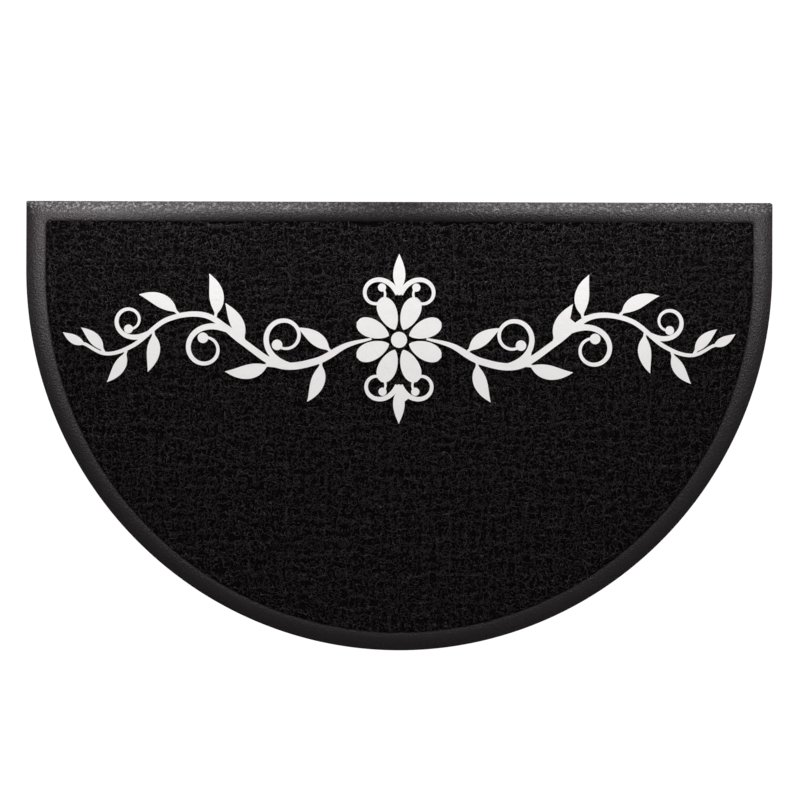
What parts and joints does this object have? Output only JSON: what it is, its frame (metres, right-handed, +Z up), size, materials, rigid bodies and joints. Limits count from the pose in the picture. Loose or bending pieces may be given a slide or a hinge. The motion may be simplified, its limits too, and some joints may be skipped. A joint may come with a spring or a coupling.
{
  "type": "half moon doormat",
  "caption": "Half moon doormat of looped vinyl coil pile with a bevelled vinyl border and a printed leaf ornament.",
  "frame": {"origin": "on the floor, under the middle of the mat's bounding box", "axes": "+X along the straight edge, +Y out of the straight edge, +Z up"},
  "size_m": [0.762, 0.458, 0.0096],
  "materials": {
    "border_vinyl": "black moulded vinyl, fine cast grain, satin",
    "coil_vinyl": "black looped vinyl strands, slightly warm, low sheen",
    "white_ink": "white ink printed on the strand tips, matt"
  },
  "bodies": {
    "root": {"moulded_border": "border_vinyl", "coil_pile": "coil_vinyl"}
  },
  "joints": []
}
